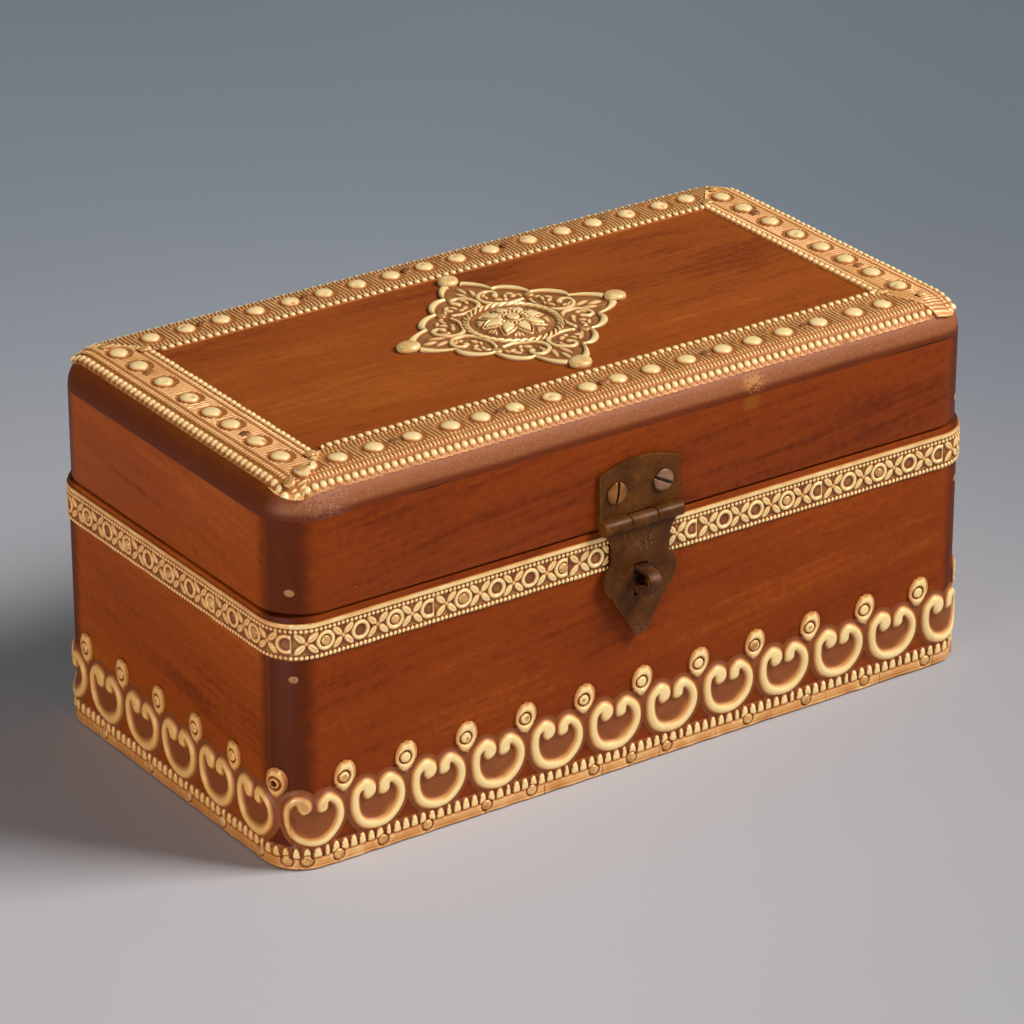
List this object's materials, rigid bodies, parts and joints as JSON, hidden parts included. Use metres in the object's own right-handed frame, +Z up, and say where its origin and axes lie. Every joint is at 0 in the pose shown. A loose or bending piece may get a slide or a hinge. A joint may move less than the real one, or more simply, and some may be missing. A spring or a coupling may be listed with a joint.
{
  "type": "wooden keepsake box",
  "caption": "Small wooden keepsake box with rounded corners, a hinged lid, embossed brass strips and medallion, and a slotted hasp over a staple at the front.",
  "frame": {"origin": "middle of the underside of the box, where it rests", "axes": "+X along the front towards its right end, +Y to the back where the hinges are, +Z up"},
  "size_m": [0.2054, 0.1176, 0.1005],
  "materials": {
    "stained_wood": "red-brown stained hardwood, satin varnish",
    "panel_wood": "plain unvarnished wood",
    "peg_wood": "pale bare wood end",
    "embossed_brass": "embossed sheet brass, warm gold ridges over dark patina",
    "hinge_brass": "plain brass, lightly tarnished",
    "hasp_metal": "dark bronzed iron, satin",
    "nail_steel": "dull wire nail"
  },
  "bodies": {
    "base": {"band_front_left": "embossed_brass", "band_front_right": "embossed_brass", "band_left_back": "embossed_brass", "band_pins": "embossed_brass", "base_back_board": "stained_wood", "base_border_pins": "embossed_brass", "base_corner_pegs": "peg_wood", "base_front_board": "stained_wood", "base_left_board": "stained_wood", "base_right_board": "stained_wood", "base_trim_front_right": "embossed_brass", "base_trim_left_back": "embossed_brass", "base_trim_pins": "embossed_brass", "bottom_panel": "panel_wood", "bottom_panel_nails": "nail_steel", "hinge_lower_leaf_left": "hinge_brass", "hinge_lower_leaf_right": "hinge_brass", "hinge_lower_screws": "hinge_brass", "hinge_pin_left": "hinge_brass", "hinge_pin_right": "hinge_brass", "staple": "hasp_metal"},
    "lid": {"hinge_upper_leaf_left": "hinge_brass", "hinge_upper_leaf_right": "hinge_brass", "hinge_upper_screws": "hinge_brass", "lid_back_board": "stained_wood", "lid_corner_pegs": "peg_wood", "lid_front_board": "stained_wood", "lid_left_board": "stained_wood", "lid_right_board": "stained_wood", "lid_top_board": "stained_wood", "medallion": "embossed_brass", "medallion_nails": "embossed_brass", "medallion_pins": "embossed_brass", "top_trim_back": "embossed_brass", "top_trim_front": "embossed_brass", "top_trim_left": "embossed_brass", "top_trim_pins": "embossed_brass", "top_trim_right": "embossed_brass", "hasp_leaf": "hasp_metal", "hasp_pin": "hasp_metal", "hasp_screws": "hasp_metal"},
    "hasp_flap": {"hasp_flap": "hasp_metal"}
  },
  "joints": [
    {"name": "lid_hinge", "type": "hinge", "parent": "base", "child": "lid", "pos_m": [0, 0.0544, 0.0657], "axis": [-1, 0, 0], "range_deg": [0, 180]},
    {"name": "hasp_swing", "type": "hinge", "parent": "lid", "child": "hasp_flap", "pos_m": [-0.0023, -0.0546, 0.0669], "axis": [-1, 0, 0], "range_deg": [0, 170]}
  ]
}
